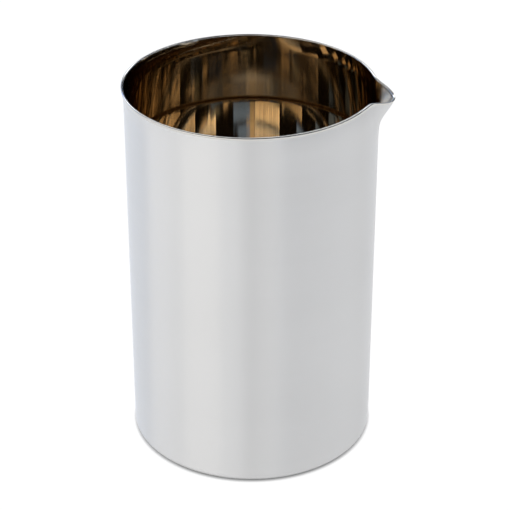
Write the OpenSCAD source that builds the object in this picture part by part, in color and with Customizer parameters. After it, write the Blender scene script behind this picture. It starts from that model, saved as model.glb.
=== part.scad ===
// Double-walled steel mixing vessel with a pulled pouring spout.
// Two drawn sheets, a satin shell and a polished liner, are welded together at the lip,
// and a plate closes the space between them from below.
// The origin is the middle of the foot on the table, +Z is up and the spout points along +X.

/* [Shell] */
// Outside diameter of the straight wall
body_d = 90; // [76:1:110]
// Height from the table to the top of the lip
body_h = 139; // [100:1:190]
// Thickness of the shell's sheet
shell_t = 0.5; // [0.4:0.05:1]
// Outside radius of the rounded corner at the foot
foot_r = 2; // [1.5:0.25:5]
// Width of the flat ring that stands on the table
land_w = 3; // [2:0.5:6]

/* [Mouth] */
// Height of the band under the lip that is formed with the spout
band_h = 20; // [15:0.5:22]
// How far the mouth is drawn away from the spout
mouth_shift = 0.9; // [0:0.1:1.5]
// Height of the wall that bends to follow the drawn mouth
shift_h = 7; // [4:0.5:12]
// Height of the weld bead that joins both sheets at the lip
lip_h = 0.85; // [0.6:0.05:1.5]
// Radius of the bead's two top edges
lip_r = 0.35; // [0.1:0.05:0.4]

/* [Spout] */
// Reach of the spout's tip beyond the mouth
spout_reach = 6.5; // [3:0.5:9]
// Half the width of the spout, along the wall between its bends
spout_half_w = 9.8; // [7:0.2:14]
// Drop of the spout's tip below the lip
spout_drop = 2.5; // [0:0.1:4]
// Height in which the spout runs back into the wall
spout_h = 9.6; // [7:0.2:13]
// Softness of the bends on both sides of the spout
bend_soft = 0.4; // [0.1:0.05:0.8]
// Softness of the bend under the spout
under_soft = 0.4; // [0.1:0.05:0.8]

/* [Liner] */
// Thickness of the liner's sheet
liner_t = 0.4; // [0.3:0.05:0.8]
// Clearance between the liner's collar and the shell
collar_fit = 0.05; // [0.04:0.01:0.2]
// Height of the collar, from the lip down to its step
collar_h = 24.5; // [23:0.5:45]
// How far the liner steps in under its collar
neck_step = 0.2; // [0.1:0.1:3]
// Height of that step
neck_h = 2; // [0.6:0.1:4]
// How much the liner's radius shrinks from the step to the floor
liner_draft = 0.4; // [0.1:0.1:5]
// Radius of the inside corner between the wall and the floor
liner_corner_r = 4; // [3:0.5:20]

/* [Base] */
// Thickness of the plate that closes the base
plate_t = 0.6; // [0.4:0.05:1.2]
// Clearance between the plate's rim and the rounded foot
plate_fit = 0.3; // [0.1:0.05:1]
// Distance from the foot's flat ring to the plate's raised middle
plate_flat_w = 2.5; // [1.5:0.25:6]
// Width of the slope up to the plate's raised middle
plate_slope_w = 2; // [1:0.25:6]
// Height of the plate's raised middle over its rim
recess_h = 1.5; // [1:0.1:5]
// Width of the weld between the plate and the foot
weld_w = 0.5; // [0.3:0.05:1]
// Height of that weld above the table
weld_lift = 0.1; // [0.05:0.05:0.3]

/* [Vacuum port] */
// Diameter of the port through the plate
port_d = 2; // [1:0.25:4]
// Diameter of the button that seals the port
seal_d = 5; // [4.5:0.25:10]
// Height of that button
seal_h = 0.8; // [0.4:0.1:1.2]

/* [Getter] */
// Diameter of the getter pill
getter_d = 8; // [5:0.5:12]
// Height of the getter pill
getter_h = 2.5; // [1.5:0.25:5]
// Distance from the port to the getter's middle
getter_x = 15; // [11:0.5:18]
// Width of the strap that holds the getter
clip_w = 3; // [2:0.25:5]
// Thickness of that strap
clip_t = 0.3; // [0.2:0.05:0.6]
// Length of each of the strap's feet
clip_foot = 2.5; // [1.5:0.25:4]
// Clearance between the strap's legs and the getter
clip_fit = 0.1; // [0.05:0.05:0.5]
// Clearance between the strap and the liner's floor
floor_gap = 2.2; // [0.5:0.1:8]

/* [Hidden] */
$fn = 96;

// Steps round the formed band, more of them at the spout, and rows up its height
columns = 120;
crowding = 25;
rows = 9;
row_crowding = 1.3;
// Steps of a quarter round
arc_steps = 8;
lip_steps = 4;
// How far the formed band's flat sides start inside the round sheet below it, inwards and down
seam_inset = 0.06;
seam_lap = 0.3;

shell_r = body_d / 2;
shell_in_r = shell_r - shell_t;
land_out_r = shell_r - foot_r;
land_in_r = land_out_r - land_w;
band_z = body_h - band_h;
lip_z = body_h - lip_h;

plate_z = shell_t;
middle_z = plate_z + recess_h;
plate_top_z = middle_z + plate_t;
plate_r = land_out_r - plate_fit;
slope_out_r = land_in_r - plate_flat_w;
slope_in_r = slope_out_r - plate_slope_w;
port_r = port_d / 2;

getter_top_z = plate_top_z + getter_h;
clip_top_z = getter_top_z + clip_t;
clip_leg_r = getter_d / 2 + clip_fit;

floor_z = clip_top_z + floor_gap + liner_t;
collar_r = shell_in_r - collar_fit - liner_t;
neck_r = collar_r - neck_step;
floor_r = neck_r - liner_draft;
neck_z = body_h - collar_h - neck_h;

// A straight ramp that runs out softly to nothing: 1 at x = 1, about 0 below x = 0
function soft(x, k) = (x + sqrt(x * x + k * k)) / 2;
function soft_ramp(x, k) = soft(x, k) / soft(1, k);

// Share of the spout at an angle from its middle, and at a height
function arc_length(a) = PI * shell_r * a / 180;
function band_share(z) = max(0, (z - band_z) / band_h);
function spout_across(a) = soft_ramp(1 - pow(arc_length(a) / spout_half_w, 2), bend_soft);
function spout_down(z) =
    soft_ramp(1 - (body_h - z) / spout_h, under_soft) * (1 - pow(1 - band_share(z), 2));
function mouth_move(a, z) = -mouth_shift * cos(a) * pow(max(0, 1 - (body_h - z) / shift_h), 2);

// Place in space of a wall's point [radius, height] at an angle from the spout
function formed(p, a) =
    let (r = p[0] + mouth_move(a, p[1]) + spout_reach * spout_across(a) * spout_down(p[1]),
         z = p[1] - spout_drop * spout_across(a) * band_share(p[1]))
    [r * cos(a), r * sin(a), z];

// Angles from -180 to 180 degrees, closest together at the spout
function column_angle(i) =
    let (turn = 360 * i / columns - 180)
    turn - crowding * sin(turn);

// Heights up the formed band, closest together at the lip
function row_z(k) =
    let (start_z = band_z - seam_lap)
    start_z + (lip_z - start_z) * (1 - pow(1 - k / rows, row_crowding));

// Quarter round from one angle to another about a middle [radius, height]
function round_points(middle, r, from, to, steps) =
    [for (i = [0:steps])
        let (a = from + (to - from) * i / steps)
        [middle[0] + r * cos(a), middle[1] + r * sin(a)]];

// Closed section of a sheet in the formed band
function row_inset(k) = k == 0 ? seam_inset : 0;
function sheet_section(out_r, t) = concat(
    [for (k = [0:rows]) [out_r - row_inset(k), row_z(k)]],
    [for (k = [rows:-1:0]) [out_r - t + row_inset(k), row_z(k)]]);

// Closed section of the weld bead, with its two top edges rounded
function lip_section() = concat(
    [[collar_r, lip_z], [shell_r, lip_z]],
    round_points([shell_r - lip_r, body_h - lip_r], lip_r, 0, 90, lip_steps),
    round_points([collar_r + lip_r, body_h - lip_r], lip_r, 90, 180, lip_steps));

// Half section of the liner's inner face down to the floor, grown by a wall
function liner_face(wall) = concat(
    [[0, floor_z - wall]],
    round_points([floor_r - liner_corner_r, floor_z + liner_corner_r],
                 liner_corner_r + wall, -90, 0, arc_steps),
    [[neck_r + wall, neck_z], [collar_r + wall, neck_z + neck_h],
     [collar_r + wall, band_z], [0, band_z]]);

// Closed ring with the given section, formed to the mouth and the spout
module formed_ring(section) {
    count = len(section);
    points = [for (i = [0:columns - 1]) for (p = section) formed(p, column_angle(i))];
    faces = [for (i = [0:columns - 1]) for (j = [0:count - 1])
        let (next = (i + 1) % columns,
             above = (j + 1) % count,
             near = i * count + j,
             near_above = i * count + above,
             far = next * count + j,
             far_above = next * count + above)
        each [[near, near_above, far_above], [near, far_above, far]]];
    polyhedron(points, faces);
}

// Satin shell: straight wall, spout, and a rounded foot turned in to a flat ring
module outer_shell() color("lightgray") {
    formed_ring(sheet_section(shell_r, shell_t));
    rotate_extrude() polygon(concat(
        [[shell_in_r, band_z], [shell_r, band_z]],
        round_points([land_out_r, foot_r], foot_r, 0, -90, arc_steps),
        [[land_in_r, 0], [land_in_r, shell_t]],
        round_points([land_out_r, foot_r], foot_r - shell_t, -90, 0, arc_steps)));
}

// Polished liner: collar against the shell, a step, and a drafted cup with a flat floor
module inner_liner() color("silver") {
    formed_ring(sheet_section(collar_r + liner_t, liner_t));
    rotate_extrude() difference() {
        polygon(liner_face(liner_t));
        polygon(liner_face(0));
    }
}

// Polished weld bead on the top edges of both sheets
module lip_weld() color("gainsboro") formed_ring(lip_section());

// Plate inside the foot's flat ring, raised in the middle, with the vacuum port
module base_plate() color("darkgray") rotate_extrude() polygon(
    [[port_r, middle_z], [slope_in_r, middle_z], [slope_out_r, plate_z], [plate_r, plate_z],
     [plate_r, plate_z + plate_t], [slope_out_r, plate_z + plate_t],
     [slope_in_r, plate_top_z], [port_r, plate_top_z]]);

// Weld in the corner between the plate and the foot's flat ring
module base_weld() color("gray") rotate_extrude() polygon(
    [[land_in_r, weld_lift], [land_in_r, plate_z], [land_in_r - weld_w, plate_z]]);

// Plug that fills the vacuum port, with a domed button under the plate
module port_seal() color("dimgray") rotate_extrude() polygon(concat(
    [for (i = [0:arc_steps])
        let (a = 90 * i / arc_steps)
        [seal_d / 2 * sin(a), middle_z - seal_h * cos(a)]],
    [[port_r, middle_z], [port_r, plate_top_z], [0, plate_top_z]]));

// Getter pill, which keeps the vacuum clean, on top of the plate
module getter() color("slategray")
    translate([-getter_x, 0, plate_top_z]) cylinder(d = getter_d, h = getter_h);

// Strap over the getter, with its feet on the plate
module getter_clip() color("lightsteelblue")
    translate([-getter_x - clip_w / 2, 0, plate_top_z]) {
        for (side = [-1, 1]) {
            translate([0, side * (clip_leg_r + clip_t / 2) - clip_t / 2, 0])
                cube([clip_w, clip_t, getter_h + clip_t]);
            translate([0, side * (clip_leg_r + clip_foot / 2) - clip_foot / 2, 0])
                cube([clip_w, clip_foot, clip_t]);
        }
        translate([0, -clip_leg_r - clip_t, getter_h])
            cube([clip_w, 2 * (clip_leg_r + clip_t), clip_t]);
    }

outer_shell();
inner_liner();
lip_weld();
base_plate();
base_weld();
port_seal();
getter();
getter_clip();
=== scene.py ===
import math

import bmesh
import bpy
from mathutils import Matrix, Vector


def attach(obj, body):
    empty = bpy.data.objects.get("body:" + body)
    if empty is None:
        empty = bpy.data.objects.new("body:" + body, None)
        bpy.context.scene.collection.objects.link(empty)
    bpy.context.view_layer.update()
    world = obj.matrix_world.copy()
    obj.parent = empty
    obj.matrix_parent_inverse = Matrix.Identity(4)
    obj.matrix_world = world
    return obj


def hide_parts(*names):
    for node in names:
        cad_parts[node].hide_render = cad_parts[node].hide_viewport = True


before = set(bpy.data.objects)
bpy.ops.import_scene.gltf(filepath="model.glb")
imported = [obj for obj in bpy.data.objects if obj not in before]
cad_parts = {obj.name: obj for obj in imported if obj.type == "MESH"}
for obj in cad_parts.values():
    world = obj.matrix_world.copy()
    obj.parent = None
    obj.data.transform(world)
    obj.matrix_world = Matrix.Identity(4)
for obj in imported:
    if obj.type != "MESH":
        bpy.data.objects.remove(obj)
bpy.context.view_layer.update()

# Outer shell
# The shell is one stainless sheet, drawn to a straight cup. Its foot is rolled in to a flat ring, and the
# spout is pulled out of its mouth, which draws the rest of the mouth back a little.
MM = 0.001
SHELL_R = 45 * MM
SHELL_T = 0.5 * MM
BODY_H = 139 * MM
FOOT_R = 2 * MM
LAND_W = 3 * MM
LIP_H = 0.85 * MM
BAND_H = 20 * MM
MOUTH_SHIFT = 0.9 * MM
SHIFT_H = 7 * MM
SPOUT_REACH = 6.5 * MM
SPOUT_HALF_W = 9.8 * MM
SPOUT_DROP = 2.5 * MM
SPOUT_H = 9.6 * MM
BEND_SOFT = 0.4
UNDER_SOFT = 0.4
COLUMNS = 480
CROWDING = math.radians(25)
BAND_ROWS = 56
EASE = 1 * MM
ROUND_STEPS = 14
SHARP = math.radians(38)
SAME_PLACE = 0.001 * MM


def soft_ramp(x, k):
    """A straight ramp that runs out softly to nothing: 1 at x = 1, about 0 below x = 0."""
    return (x + math.hypot(x, k)) / (1 + math.hypot(1, k))


def formed(radius, height, angle):
    """Where a point of a straight wall goes when the mouth and the spout are formed."""
    depth = BODY_H - height
    share = max(0.0, 1 - depth / BAND_H)
    across = soft_ramp(1 - (SHELL_R * angle / SPOUT_HALF_W) ** 2, BEND_SOFT)
    down = soft_ramp(1 - depth / SPOUT_H, UNDER_SOFT) * (1 - (1 - share) ** 2)
    drawn = MOUTH_SHIFT * math.cos(angle) * max(0.0, 1 - depth / SHIFT_H) ** 2
    r = radius - drawn + SPOUT_REACH * across * down
    return Vector((r * math.cos(angle), r * math.sin(angle), height - SPOUT_DROP * across * share))


def round_points(centre, r, start, stop, steps=ROUND_STEPS):
    """Points (radius, height) of an arc between two angles in degrees."""
    turn = [math.radians(start + (stop - start) * i / steps) for i in range(steps + 1)]
    return [(centre[0] + r * math.cos(t), centre[1] + r * math.sin(t)) for t in turn]


def rows_between(low, high, count):
    """Heights from low to high, both included."""
    return [low + (high - low) * i / count for i in range(count + 1)]


def turned_mesh(name, section):
    """A closed section, as points (radius, height), turned about Z and formed to the mouth and the spout."""
    bm = bmesh.new()
    rings = []
    for i in range(COLUMNS):
        turn = 2 * math.pi * i / COLUMNS - math.pi
        angle = turn - CROWDING * math.sin(turn)
        rings.append([bm.verts.new(formed(r, z, angle)) for r, z in section])
    for near, far in zip(rings, rings[1:] + rings[:1]):
        for j in range(len(section)):
            k = (j + 1) % len(section)
            bm.faces.new((near[j], far[j], far[k], near[k]))
    bmesh.ops.remove_doubles(bm, verts=bm.verts, dist=SAME_PLACE)
    bmesh.ops.recalc_face_normals(bm, faces=bm.faces)
    mesh = bpy.data.meshes.new(name)
    bm.to_mesh(mesh)
    bm.free()
    mesh.shade_smooth()
    mesh.set_sharp_from_angle(angle=SHARP)
    piece = bpy.data.objects.new(name, mesh)
    bpy.context.scene.collection.objects.link(piece)
    return piece


lip_z = BODY_H - LIP_H
band_z = BODY_H - BAND_H
shell_in_r = SHELL_R - SHELL_T
land_out_r = SHELL_R - FOOT_R
land_in_r = land_out_r - LAND_W
band_heights = rows_between(band_z, lip_z, BAND_ROWS)
shell_section = [(land_in_r, SHELL_T), (land_in_r, 0.0)]
shell_section += round_points((land_out_r, FOOT_R), FOOT_R, -90, 0)
shell_section += [(SHELL_R, FOOT_R + EASE)]
shell_section += [(SHELL_R, z) for z in band_heights]
shell_section += [(shell_in_r, z) for z in reversed(band_heights)]
shell_section += round_points((land_out_r, FOOT_R), FOOT_R - SHELL_T, 0, -90)
shell = turned_mesh("satin_shell", shell_section)


def linear(hex_colour):
    """An sRGB hex colour as linear red, green, blue and alpha."""
    parts = [int(hex_colour[i:i + 2], 16) / 255 for i in (1, 3, 5)]
    return [p / 12.92 if p <= 0.04045 else ((p + 0.055) / 1.055) ** 2.4 for p in parts] + [1.0]


def add_node(tree, kind, inputs=None, **settings):
    """Adds a node, gives it its settings, and sets or links its inputs."""
    made = tree.nodes.new(kind)
    for key, value in settings.items():
        setattr(made, key, value)
    for key, value in (inputs or {}).items():
        if isinstance(value, bpy.types.NodeSocket):
            tree.links.new(value, made.inputs[key])
        else:
            made.inputs[key].default_value = value
    return made


def new_material(name):
    """An empty node material and its tree."""
    material = bpy.data.materials.new(name)
    material.use_nodes = True
    material.node_tree.nodes.clear()
    return material, material.node_tree


SOFT_DETAIL = 2.0
FINE_DETAIL = 3.0


def lines_round(tree, pitch, run):
    """Noise drawn out to lines that run round the vessel, a pitch apart and a run long."""
    place = add_node(tree, "ShaderNodeTexCoord").outputs["Object"]
    drawn = add_node(tree, "ShaderNodeMapping", {"Vector": place, "Scale": (1 / run, 1 / run, 1 / pitch)})
    noise = add_node(tree, "ShaderNodeTexNoise", {
        "Vector": drawn.outputs[0], "Scale": 1.0, "Detail": FINE_DETAIL})
    return noise.outputs["Fac"]


# Satin stainless: brushed round the wall, so it smears reflections up and down and keeps them apart
# sideways. The real lines are about 0.1 mm apart. They are drawn coarser here, or they would not show.
SATIN_HEX = "#d9d9d9"
SATIN_LINE = 0.5 * MM
SATIN_RUN = 60 * MM
SATIN_LINE_H = 0.05 * MM
SATIN_RELIEF = 0.04
SATIN_SMOOTHEST = 0.26
SATIN_ROUGHEST = 0.36
HAZE_SIZE = 35 * MM
HAZE_SHARE = 0.3
BRUSHED = 1.0
QUARTER_TURN = 0.25
satin, tree = new_material("satin_brushed_stainless")
brushing = lines_round(tree, SATIN_LINE, SATIN_RUN)
place = add_node(tree, "ShaderNodeTexCoord").outputs["Object"]
haze = add_node(tree, "ShaderNodeTexNoise", {
    "Vector": place, "Scale": 1 / HAZE_SIZE, "Detail": SOFT_DETAIL})
mixed = add_node(tree, "ShaderNodeMix", {
    "Factor": HAZE_SHARE, "A": brushing, "B": haze.outputs["Fac"]}, data_type="FLOAT")
rough = add_node(tree, "ShaderNodeMapRange", {
    "Value": mixed.outputs["Result"], "To Min": SATIN_SMOOTHEST, "To Max": SATIN_ROUGHEST})
relief = add_node(tree, "ShaderNodeBump", {
    "Height": brushing, "Strength": SATIN_RELIEF, "Distance": SATIN_LINE_H})
around = add_node(tree, "ShaderNodeTangent", direction_type="RADIAL", axis="Z")
steel = add_node(tree, "ShaderNodeBsdfPrincipled", {
    "Base Color": linear(SATIN_HEX), "Metallic": 1.0, "Roughness": rough.outputs[0],
    "Anisotropic": BRUSHED, "Anisotropic Rotation": QUARTER_TURN,
    "Normal": relief.outputs[0], "Tangent": around.outputs[0]})
add_node(tree, "ShaderNodeOutputMaterial", {"Surface": steel.outputs[0]})
shell.data.materials.append(satin)
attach(shell, "root")
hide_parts("outer_shell")

# Inner liner
# The liner is a second sheet, drawn deeper and polished to a mirror inside. Its collar lies against the
# shell, and below the collar it steps in a little and runs down almost straight to a flat floor.
LINER_T = 0.4 * MM
COLLAR_FIT = 0.05 * MM
COLLAR_H = 24.5 * MM
NECK_STEP = 0.2 * MM
NECK_H = 2 * MM
LINER_DRAFT = 0.4 * MM
LINER_CORNER_R = 4 * MM
FLOOR_Z = 8 * MM
NECK_ROWS = 12
collar_r = shell_in_r - COLLAR_FIT - LINER_T
neck_r = collar_r - NECK_STEP
floor_r = neck_r - LINER_DRAFT
neck_z = BODY_H - COLLAR_H - NECK_H


def liner_face(wall):
    """The liner's inner face from the middle of the floor up to the lip, grown outwards by a wall."""
    corner = (floor_r - LINER_CORNER_R, FLOOR_Z + LINER_CORNER_R)
    points = [(0.0, FLOOR_Z - wall), (corner[0] - EASE, FLOOR_Z - wall)]
    points += round_points(corner, LINER_CORNER_R + wall, -90, 0)
    points += [(floor_r + wall, corner[1] + EASE), (neck_r + wall, neck_z - EASE)]
    for i in range(NECK_ROWS + 1):
        rise = i / NECK_ROWS
        swing = (1 - math.cos(math.pi * rise)) / 2
        points.append((neck_r + NECK_STEP * swing + wall, neck_z + NECK_H * rise))
    return points + [(collar_r + wall, z) for z in band_heights]


liner = turned_mesh("polished_liner", liner_face(0.0) + liner_face(LINER_T)[::-1])

# Mirror-polished stainless: it shows sharp streaks, which turn golden brown where light goes from wall to
# wall many times. The collar smears them a little, and the spout is rubbed satin by hand after pulling.
POLISHED_HEX = "#e4dccf"
POLISH_LINE = 0.4 * MM
POLISH_RUN = 90 * MM
MIRROR_ROUGH = 0.02
COLLAR_ROUGH = 0.035
SPOUT_ROUGH = 0.22
RUB_EDGE = 1.5 * MM
LINE_VARY = 0.25
polished, tree = new_material("mirror_polished_stainless")
place = add_node(tree, "ShaderNodeTexCoord").outputs["Object"]
spot = add_node(tree, "ShaderNodeSeparateXYZ", {"Vector": place}).outputs
zone = add_node(tree, "ShaderNodeMapRange", {
    "Value": spot["Z"], "From Min": neck_z, "From Max": neck_z + NECK_H,
    "To Min": MIRROR_ROUGH, "To Max": COLLAR_ROUGH})
zone = add_node(tree, "ShaderNodeMapRange", {
    "Value": spot["X"], "From Min": collar_r, "From Max": collar_r + RUB_EDGE,
    "To Min": zone.outputs[0], "To Max": SPOUT_ROUGH})
lines = lines_round(tree, POLISH_LINE, POLISH_RUN)
share = add_node(tree, "ShaderNodeMapRange", {
    "Value": lines, "To Min": 1 - LINE_VARY, "To Max": 1 + LINE_VARY})
rough = add_node(tree, "ShaderNodeMath", {
    0: zone.outputs[0], 1: share.outputs[0]}, operation="MULTIPLY")
around = add_node(tree, "ShaderNodeTangent", direction_type="RADIAL", axis="Z")
mirror = add_node(tree, "ShaderNodeBsdfPrincipled", {
    "Base Color": linear(POLISHED_HEX), "Metallic": 1.0, "Roughness": rough.outputs[0],
    "Anisotropic": BRUSHED, "Anisotropic Rotation": QUARTER_TURN, "Tangent": around.outputs[0]})
add_node(tree, "ShaderNodeOutputMaterial", {"Surface": mirror.outputs[0]})
liner.data.materials.append(polished)
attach(liner, "root")
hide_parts("inner_liner")

# Lip weld
# Both sheets end at the mouth and are fused there along their edges, all round and over the spout.
# The bead is ground round and polished, so that it is safe to the hand and pours clean.
LIP_R = 0.4 * MM
LIP_STEPS = 8
lip_section = [(collar_r, lip_z), (SHELL_R, lip_z)]
lip_section += round_points((SHELL_R - LIP_R, BODY_H - LIP_R), LIP_R, 0, 90, LIP_STEPS)
lip_section += round_points((collar_r + LIP_R, BODY_H - LIP_R), LIP_R, 90, 180, LIP_STEPS)
lip = turned_mesh("polished_lip", lip_section)

# Polished weld bead: a bright thin line round the mouth, with fine rubbing marks along it.
LIP_HEX = "#cccac6"
LIP_MARK = 1.5 * MM
LIP_SMOOTHEST = 0.05
LIP_ROUGHEST = 0.12
lip_steel, tree = new_material("polished_weld_bead")
place = add_node(tree, "ShaderNodeTexCoord").outputs["Object"]
marks = add_node(tree, "ShaderNodeTexNoise", {
    "Vector": place, "Scale": 1 / LIP_MARK, "Detail": SOFT_DETAIL})
rough = add_node(tree, "ShaderNodeMapRange", {
    "Value": marks.outputs["Fac"], "To Min": LIP_SMOOTHEST, "To Max": LIP_ROUGHEST})
bead = add_node(tree, "ShaderNodeBsdfPrincipled", {
    "Base Color": linear(LIP_HEX), "Metallic": 1.0, "Roughness": rough.outputs[0]})
add_node(tree, "ShaderNodeOutputMaterial", {"Surface": bead.outputs[0]})
lip.data.materials.append(lip_steel)
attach(lip, "root")
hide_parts("lip_weld")

# Base plate
# A pressed stainless plate lies on the foot's flat ring and closes the space between the two walls from
# below. Its middle is raised, so that the vessel stands on the ring alone, and has the vacuum port in it.
PLATE_T = 0.6 * MM
PLATE_FIT = 0.3 * MM
PLATE_FLAT_W = 2.5 * MM
PLATE_SLOPE_W = 2 * MM
RECESS_H = 1.5 * MM
PORT_R = 1 * MM
SLOPE_ROWS = 16
plate_r = land_out_r - PLATE_FIT
slope_in_r = land_in_r - PLATE_FLAT_W - PLATE_SLOPE_W
middle_z = SHELL_T + RECESS_H


def plate_face(lift):
    """One face of the plate, from the port out to the rim, lifted by its thickness or not at all."""
    points = [(PORT_R, middle_z + lift)]
    for i in range(SLOPE_ROWS + 1):
        fall = i / SLOPE_ROWS
        swing = (1 - math.cos(math.pi * fall)) / 2
        points.append((slope_in_r + PLATE_SLOPE_W * fall, middle_z - RECESS_H * swing + lift))
    return points + [(plate_r, SHELL_T + lift)]


plate = turned_mesh("pressed_base", plate_face(0.0) + plate_face(PLATE_T)[::-1])

# Mill-finish stainless: dull and even, as the sheet comes from the rolls, with faint clouds from the press.
# The real grain is finer than 0.1 mm. It is drawn coarser here, or it would not show.
PLATE_HEX = "#c6c5c2"
GRAIN = 0.5 * MM
GRAIN_H = 0.03 * MM
GRAIN_RELIEF = 0.15
CLOUD = 9 * MM
PLATE_SMOOTHEST = 0.28
PLATE_ROUGHEST = 0.48
pressed, tree = new_material("pressed_mill_stainless")
place = add_node(tree, "ShaderNodeTexCoord").outputs["Object"]
grain = add_node(tree, "ShaderNodeTexNoise", {
    "Vector": place, "Scale": 1 / GRAIN, "Detail": SOFT_DETAIL})
cloud = add_node(tree, "ShaderNodeTexNoise", {
    "Vector": place, "Scale": 1 / CLOUD, "Detail": FINE_DETAIL})
rough = add_node(tree, "ShaderNodeMapRange", {
    "Value": cloud.outputs["Fac"], "To Min": PLATE_SMOOTHEST, "To Max": PLATE_ROUGHEST})
relief = add_node(tree, "ShaderNodeBump", {
    "Height": grain.outputs["Fac"], "Strength": GRAIN_RELIEF, "Distance": GRAIN_H})
dull = add_node(tree, "ShaderNodeBsdfPrincipled", {
    "Base Color": linear(PLATE_HEX), "Metallic": 1.0, "Roughness": rough.outputs[0],
    "Normal": relief.outputs[0]})
add_node(tree, "ShaderNodeOutputMaterial", {"Surface": dull.outputs[0]})
plate.data.materials.append(pressed)
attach(plate, "root")
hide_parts("base_plate")

# Base weld
# A laser weld runs round the corner between the plate and the foot's flat ring. It makes the base tight,
# and its bead stays clear of the table.
WELD_W = 0.5 * MM
WELD_LIFT = 0.1 * MM
WELD_SWELL = 0.05 * MM
WELD_STEPS = 8
weld_section = [(land_in_r, SHELL_T)]
for i in range(WELD_STEPS + 1):
    across = i / WELD_STEPS
    swell = WELD_SWELL * math.sin(math.pi * across)
    weld_section.append((land_in_r - WELD_W * across - swell,
                         WELD_LIFT + (SHELL_T - WELD_LIFT) * across - swell))
weld = turned_mesh("laser_weld", weld_section)

# Laser-welded stainless: darker than the sheets, tinted straw by the heat, with a ripple for each pulse.
WELD_HEX = "#b0aba3"
STRAW_HEX = "#93805f"
RIPPLE = 0.7 * MM
RIPPLE_H = 0.08 * MM
RIPPLE_RELIEF = 0.5
RIPPLE_DETAIL = 1.0
WELD_SMOOTHEST = 0.3
WELD_ROUGHEST = 0.5
TINT = 5 * MM
# The sockets for colours on a Mix node, by number, because their names repeat
COLOUR_A = 6
COLOUR_B = 7
COLOUR_OUT = 2
fused, tree = new_material("laser_welded_stainless")
place = add_node(tree, "ShaderNodeTexCoord").outputs["Object"]
tint = add_node(tree, "ShaderNodeTexNoise", {
    "Vector": place, "Scale": 1 / TINT, "Detail": SOFT_DETAIL})
colour = add_node(tree, "ShaderNodeMix", {
    "Factor": tint.outputs["Fac"], COLOUR_A: linear(WELD_HEX), COLOUR_B: linear(STRAW_HEX)},
    data_type="RGBA")
ripple = add_node(tree, "ShaderNodeTexNoise", {
    "Vector": place, "Scale": 1 / RIPPLE, "Detail": RIPPLE_DETAIL})
rough = add_node(tree, "ShaderNodeMapRange", {
    "Value": ripple.outputs["Fac"], "To Min": WELD_SMOOTHEST, "To Max": WELD_ROUGHEST})
relief = add_node(tree, "ShaderNodeBump", {
    "Height": ripple.outputs["Fac"], "Strength": RIPPLE_RELIEF, "Distance": RIPPLE_H})
metal = add_node(tree, "ShaderNodeBsdfPrincipled", {
    "Base Color": colour.outputs[COLOUR_OUT], "Metallic": 1.0, "Roughness": rough.outputs[0],
    "Normal": relief.outputs[0]})
add_node(tree, "ShaderNodeOutputMaterial", {"Surface": metal.outputs[0]})
weld.data.materials.append(fused)
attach(weld, "root")
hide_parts("base_weld")

# Port seal
# The space between the walls is emptied through the port in the plate. A bead of solder then melts into
# the port in the vacuum oven, closes it and leaves a low round button under the plate.
SEAL_R = 2.5 * MM
SEAL_H = 0.8 * MM
SEAL_STEPS = 16
seal_section = []
for i in range(SEAL_STEPS + 1):
    turn = math.pi / 2 * i / SEAL_STEPS
    seal_section.append((SEAL_R * math.sin(turn), middle_z - SEAL_H * math.cos(turn)))
seal_section += [(PORT_R, middle_z), (PORT_R, middle_z + PLATE_T), (0.0, middle_z + PLATE_T)]
seal = turned_mesh("solder_button", seal_section)

# Oven-run solder: dull grey metal that froze unevenly, so it is pitted and cloudy.
SOLDER_HEX = "#9b9b9c"
SCALE_HEX = "#706d68"
PIT = 0.6 * MM
PIT_H = 0.06 * MM
PIT_RELIEF = 0.4
SOLDER_SMOOTHEST = 0.35
SOLDER_ROUGHEST = 0.65
solder, tree = new_material("oven_run_solder")
place = add_node(tree, "ShaderNodeTexCoord").outputs["Object"]
pits = add_node(tree, "ShaderNodeTexNoise", {
    "Vector": place, "Scale": 1 / PIT, "Detail": FINE_DETAIL})
colour = add_node(tree, "ShaderNodeMix", {
    "Factor": pits.outputs["Fac"], COLOUR_A: linear(SOLDER_HEX), COLOUR_B: linear(SCALE_HEX)},
    data_type="RGBA")
rough = add_node(tree, "ShaderNodeMapRange", {
    "Value": pits.outputs["Fac"], "To Min": SOLDER_SMOOTHEST, "To Max": SOLDER_ROUGHEST})
relief = add_node(tree, "ShaderNodeBump", {
    "Height": pits.outputs["Fac"], "Strength": PIT_RELIEF, "Distance": PIT_H})
metal = add_node(tree, "ShaderNodeBsdfPrincipled", {
    "Base Color": colour.outputs[COLOUR_OUT], "Metallic": 1.0, "Roughness": rough.outputs[0],
    "Normal": relief.outputs[0]})
add_node(tree, "ShaderNodeOutputMaterial", {"Surface": metal.outputs[0]})
seal.data.materials.append(solder)
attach(seal, "root")
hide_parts("port_seal")

# Getter and strap
# A pill of pressed metal powder lies on the plate in the empty space and soaks up what gas is left there.
# A thin steel strap, bent over it and spot-welded to the plate, holds it. Both are shut in, out of sight.

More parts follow.
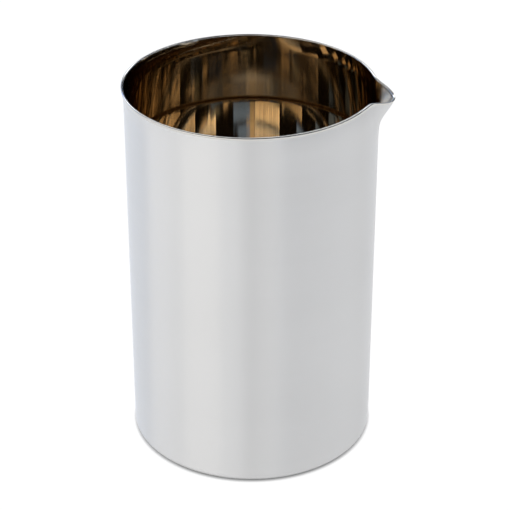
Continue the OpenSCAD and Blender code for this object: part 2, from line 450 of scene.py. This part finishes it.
# Pressed getter powder: dark, matt and grainy.
POWDER_HEX = "#90939a"
CRUMB_HEX = "#6a6c72"
CRUMB = 0.25 * MM
CRUMB_H = 0.05 * MM
CRUMB_RELIEF = 0.5
POWDER_METALLIC = 0.6
POWDER_ROUGH = 0.75
powder, tree = new_material("pressed_getter_powder")
place = add_node(tree, "ShaderNodeTexCoord").outputs["Object"]
crumbs = add_node(tree, "ShaderNodeTexNoise", {
    "Vector": place, "Scale": 1 / CRUMB, "Detail": FINE_DETAIL})
colour = add_node(tree, "ShaderNodeMix", {
    "Factor": crumbs.outputs["Fac"], COLOUR_A: linear(POWDER_HEX), COLOUR_B: linear(CRUMB_HEX)},
    data_type="RGBA")
relief = add_node(tree, "ShaderNodeBump", {
    "Height": crumbs.outputs["Fac"], "Strength": CRUMB_RELIEF, "Distance": CRUMB_H})
metal = add_node(tree, "ShaderNodeBsdfPrincipled", {
    "Base Color": colour.outputs[COLOUR_OUT], "Metallic": POWDER_METALLIC,
    "Roughness": POWDER_ROUGH, "Normal": relief.outputs[0]})
add_node(tree, "ShaderNodeOutputMaterial", {"Surface": metal.outputs[0]})
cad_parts["getter"].material_slots[0].material = powder

# Rolled strip: bright sheet with faint lines along the strap, from the rolls.
STRIP_HEX = "#c8c8c8"
STRIP_LINE = 0.2 * MM
STRIP_RUN = 8 * MM
STRIP_SMOOTHEST = 0.2
STRIP_ROUGHEST = 0.35
strip, tree = new_material("rolled_strip_stainless")
place = add_node(tree, "ShaderNodeTexCoord").outputs["Object"]
along = add_node(tree, "ShaderNodeMapping", {
    "Vector": place, "Scale": (1 / STRIP_LINE, 1 / STRIP_RUN, 1 / STRIP_RUN)})
lines = add_node(tree, "ShaderNodeTexNoise", {
    "Vector": along.outputs[0], "Scale": 1.0, "Detail": SOFT_DETAIL})
rough = add_node(tree, "ShaderNodeMapRange", {
    "Value": lines.outputs["Fac"], "To Min": STRIP_SMOOTHEST, "To Max": STRIP_ROUGHEST})
metal = add_node(tree, "ShaderNodeBsdfPrincipled", {
    "Base Color": linear(STRIP_HEX), "Metallic": 1.0, "Roughness": rough.outputs[0]})
add_node(tree, "ShaderNodeOutputMaterial", {"Surface": metal.outputs[0]})
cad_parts["getter_clip"].material_slots[0].material = strip

# Camera
# It stands before the vessel, a little to the spout's side, and looks down into the mouth. Its long lens
# keeps the wall almost straight.
VIEW_AZIMUTH = math.radians(8.14)
VIEW_ELEVATION = math.radians(29.447)
VIEW_DISTANCE = 657.4 * MM
TARGET_RIGHT = 1.23 * MM
TARGET_Z = 69.83 * MM
LENS = 125.75
SENSOR = 36
CLIP_START = 10 * MM


def outward(azimuth, elevation):
    """Direction from the vessel. The azimuth counts from the camera, to the right as seen from it."""
    turn = VIEW_AZIMUTH + azimuth
    level = math.cos(elevation)
    return Vector((math.sin(turn) * level, -math.cos(turn) * level, math.sin(elevation)))


to_right = outward(math.radians(90), 0.0)
to_camera = outward(0.0, VIEW_ELEVATION)
target = to_right * TARGET_RIGHT + Vector((0.0, 0.0, TARGET_Z))
camera_data = bpy.data.cameras.new("camera")
camera_data.lens = LENS
camera_data.sensor_width = SENSOR
camera_data.clip_start = CLIP_START
camera = bpy.data.objects.new("camera", camera_data)
camera.location = target + to_camera * VIEW_DISTANCE
camera.rotation_mode = "QUATERNION"
camera.rotation_quaternion = (-to_camera).to_track_quat("-Z", "Y")
bpy.context.scene.collection.objects.link(camera)
bpy.context.scene.camera = camera
bpy.context.scene.view_settings.view_transform = "Standard"

# Table
# A wide white paper sheet lies under the vessel. It glows white to the eye and in the steel, and it still
# takes the vessel's shadow. Near the foot its glow is darkened by a painted contact shadow.
TABLE_SIZE = 40.0
TABLE_DROP = 0.05 * MM
PAPER_HEX = "#f4f4f4"
PAPER_GLOW = 0.95
PAPER_SHADE = 0.25
CONTACT_SHADOW_REACH = 1.4 * MM
CONTACT_SAMPLES = 8
half = TABLE_SIZE / 2
corners = [(-half, -half), (half, -half), (half, half), (-half, half)]
table_mesh = bpy.data.meshes.new("table")
table_mesh.from_pydata([(x, y, -TABLE_DROP) for x, y in corners], [], [(0, 1, 2, 3)])
table = bpy.data.objects.new("table", table_mesh)
bpy.context.scene.collection.objects.link(table)
paper, tree = new_material("white_paper")
ray = add_node(tree, "ShaderNodeLightPath").outputs
seen = add_node(tree, "ShaderNodeMath", {
    0: ray["Is Camera Ray"], 1: ray["Is Glossy Ray"]}, operation="MAXIMUM")
seen = add_node(tree, "ShaderNodeMath", {
    0: seen.outputs[0], 1: ray["Is Transmission Ray"]}, operation="MAXIMUM")
matt = add_node(tree, "ShaderNodeBsdfDiffuse", {"Color": linear(PAPER_HEX)})
shade = add_node(tree, "ShaderNodeBsdfDiffuse", {"Color": [PAPER_SHADE] * 3 + [1.0]})
# Painted contact shadow: ambient occlusion dims the paper's glow within a short reach of the foot
painted_contact_shadow = add_node(tree, "ShaderNodeAmbientOcclusion", {"Distance": CONTACT_SHADOW_REACH}, samples=CONTACT_SAMPLES)
level = add_node(tree, "ShaderNodeMath", {
    0: painted_contact_shadow.outputs["AO"], 1: PAPER_GLOW}, operation="MULTIPLY")
glow = add_node(tree, "ShaderNodeEmission", {"Strength": level.outputs[0]})
white = add_node(tree, "ShaderNodeAddShader", {0: glow.outputs[0], 1: shade.outputs[0]})
both = add_node(tree, "ShaderNodeMixShader", {
    0: seen.outputs[0], 1: matt.outputs[0], 2: white.outputs[0]})
add_node(tree, "ShaderNodeOutputMaterial", {"Surface": both.outputs[0]})
table_mesh.materials.append(paper)

# Room
# The vessel stands in a dim room. Pale panels hang round it: each lights the steel from one side, and
# together they give the wall its tall soft bands and the inside its streaks.
ROOM_DIM = 0.02
ROOM_HEX = "#ffffff"
SCREEN_LOW = -4
SCREEN_HIGH = 18
SCREEN_RISE = 2
room = bpy.data.worlds.new("studio")
bpy.context.scene.world = room
room.use_nodes = True
tree = room.node_tree
tree.nodes.clear()
way = add_node(tree, "ShaderNodeTexCoord").outputs["Generated"]
rightward = add_node(tree, "ShaderNodeVectorMath", {0: way, 1: to_right}, operation="DOT_PRODUCT")
forward = add_node(tree, "ShaderNodeVectorMath", {
    0: way, 1: outward(0.0, 0.0)}, operation="DOT_PRODUCT")
azimuth = add_node(tree, "ShaderNodeMath", {
    0: rightward.outputs["Value"], 1: forward.outputs["Value"]}, operation="ARCTAN2").outputs[0]
up = add_node(tree, "ShaderNodeSeparateXYZ", {"Vector": way}).outputs["Z"]
elevation = add_node(tree, "ShaderNodeMath", {0: up}, operation="ARCSINE").outputs[0]


def soft_share(distance, reach, edge):
    """Share of a panel's light at a distance from its middle line: 1 inside, 0 outside, soft between."""
    away = add_node(tree, "ShaderNodeMath", {0: distance}, operation="ABSOLUTE")
    return add_node(tree, "ShaderNodeMapRange", {
        "Value": away.outputs[0], "From Min": math.radians(reach - edge),
        "From Max": math.radians(reach + edge), "To Min": 1.0, "To Max": 0.0},
        interpolation_type="SMOOTHSTEP").outputs[0]


def hang_panel(light, middle, width, edge, hex_colour, strength,
               low=SCREEN_LOW, high=SCREEN_HIGH, rise=SCREEN_RISE):
    """Adds a soft-edged panel to the room's light. In degrees, with azimuths counted from the camera."""
    aside = add_node(tree, "ShaderNodeMath", {
        0: azimuth, 1: math.radians(middle)}, operation="SUBTRACT")
    aside = add_node(tree, "ShaderNodeMath", {
        0: aside.outputs[0], 1: math.pi, 2: -math.pi}, operation="WRAP")
    above = add_node(tree, "ShaderNodeMath", {
        0: elevation, 1: math.radians((low + high) / 2)}, operation="SUBTRACT")
    share = add_node(tree, "ShaderNodeMath", {
        0: soft_share(aside.outputs[0], width / 2, edge),
        1: soft_share(above.outputs[0], (high - low) / 2, rise)}, operation="MULTIPLY")
    level = [c * strength for c in linear(hex_colour)[:3]]
    panel = add_node(tree, "ShaderNodeVectorMath", {
        0: level, "Scale": share.outputs[0]}, operation="SCALE")
    return add_node(tree, "ShaderNodeVectorMath", {
        0: light, 1: panel.outputs[0]}, operation="ADD").outputs[0]


light = [c * ROOM_DIM for c in linear(ROOM_HEX)[:3]]

# Low screens stand round the table, and the satin wall draws them up to its tall bands. The left one is the
# brightest, with a warm glow in its middle and a strip at its end. The ones behind are blue as the sky.
light = hang_panel(light, middle=-55, width=92, edge=8, hex_colour="#ffffff", strength=2.15)
light = hang_panel(light, middle=-44, width=34, edge=6, hex_colour="#fff6e8", strength=0.9)
light = hang_panel(light, middle=-86, width=20, edge=5, hex_colour="#ffffff", strength=0.2)
light = hang_panel(light, middle=-140, width=76, edge=14, hex_colour="#c8e0ff", strength=1.7)
light = hang_panel(light, middle=8, width=36, edge=8, hex_colour="#ffffff", strength=0.95)
light = hang_panel(light, middle=12, width=14, edge=4, hex_colour="#ffffff", strength=0.3)
light = hang_panel(light, middle=62, width=88, edge=12, hex_colour="#f4f8ff", strength=0.6)
light = hang_panel(light, middle=150, width=60, edge=10, hex_colour="#a8d0ff", strength=0.3, high=10, rise=3)

# Two strips hang higher, one of them blue. They show as the grey patch at the back of the inside.
STRIP_LOW = 24.6
light = hang_panel(light, middle=-125, width=92, edge=3, hex_colour="#76a3ff", strength=3.9,
                   low=STRIP_LOW, high=25.9, rise=0.2)
light = hang_panel(light, middle=176, width=26, edge=3, hex_colour="#ffffff", strength=2.0,
                   low=STRIP_LOW, high=26.2, rise=0.2)

# A box light behind, and a wide cloth above it. They draw the lip's bright line and light the liner's floor.
light = hang_panel(light, middle=180, width=56, edge=6, hex_colour="#ffffff", strength=3.0,
                   low=26.2, high=35, rise=0.5)
light = hang_panel(light, middle=180, width=180, edge=10, hex_colour="#ffffff", strength=0.5,
                   low=42, high=138, rise=6)

# The window has narrow panes of old glass, no two neighbours alike, with white below a bar and sky above it.
# They show as the golden patches and the fine streaks of the mirror finish.
PANES = 12
FIRST_PANE = 28
PANE_STEP = 11.6
PANE_W = 10
PANE_EDGE = 1
PANE_RISE = 0.15
PANE_LOW = 24.8
PANE_BAR = 25.25
PANE_TOP = 26.6
PANE_LIGHT = 9.5
SKY_LIGHT = 3.6
PANE_KINDS = 5
PANE_HOP = 7
PANE_VARY = 0.28
for i in range(PANES):
    kind = i * PANE_HOP % PANE_KINDS
    clear = 1 - PANE_VARY * kind / (PANE_KINDS - 1)
    middle = FIRST_PANE + PANE_STEP * i
    light = hang_panel(light, middle, PANE_W, PANE_EDGE, "#ffffff", PANE_LIGHT * clear,
                       PANE_LOW, PANE_BAR, PANE_RISE)
    light = hang_panel(light, middle, PANE_W, PANE_EDGE, "#b4d0ff", SKY_LIGHT * clear,
                       PANE_BAR, PANE_TOP, PANE_RISE)
walls = add_node(tree, "ShaderNodeBackground", {"Color": light, "Strength": 1.0})
add_node(tree, "ShaderNodeOutputWorld", {"Surface": walls.outputs[0]})

# Light goes from wall to wall many times inside the mirror finish before it leaves the mouth.
WALL_TO_WALL = 32
bpy.context.scene.cycles.max_bounces = WALL_TO_WALL
bpy.context.scene.cycles.glossy_bounces = WALL_TO_WALL
bpy.context.scene.cycles.min_light_bounces = WALL_TO_WALL
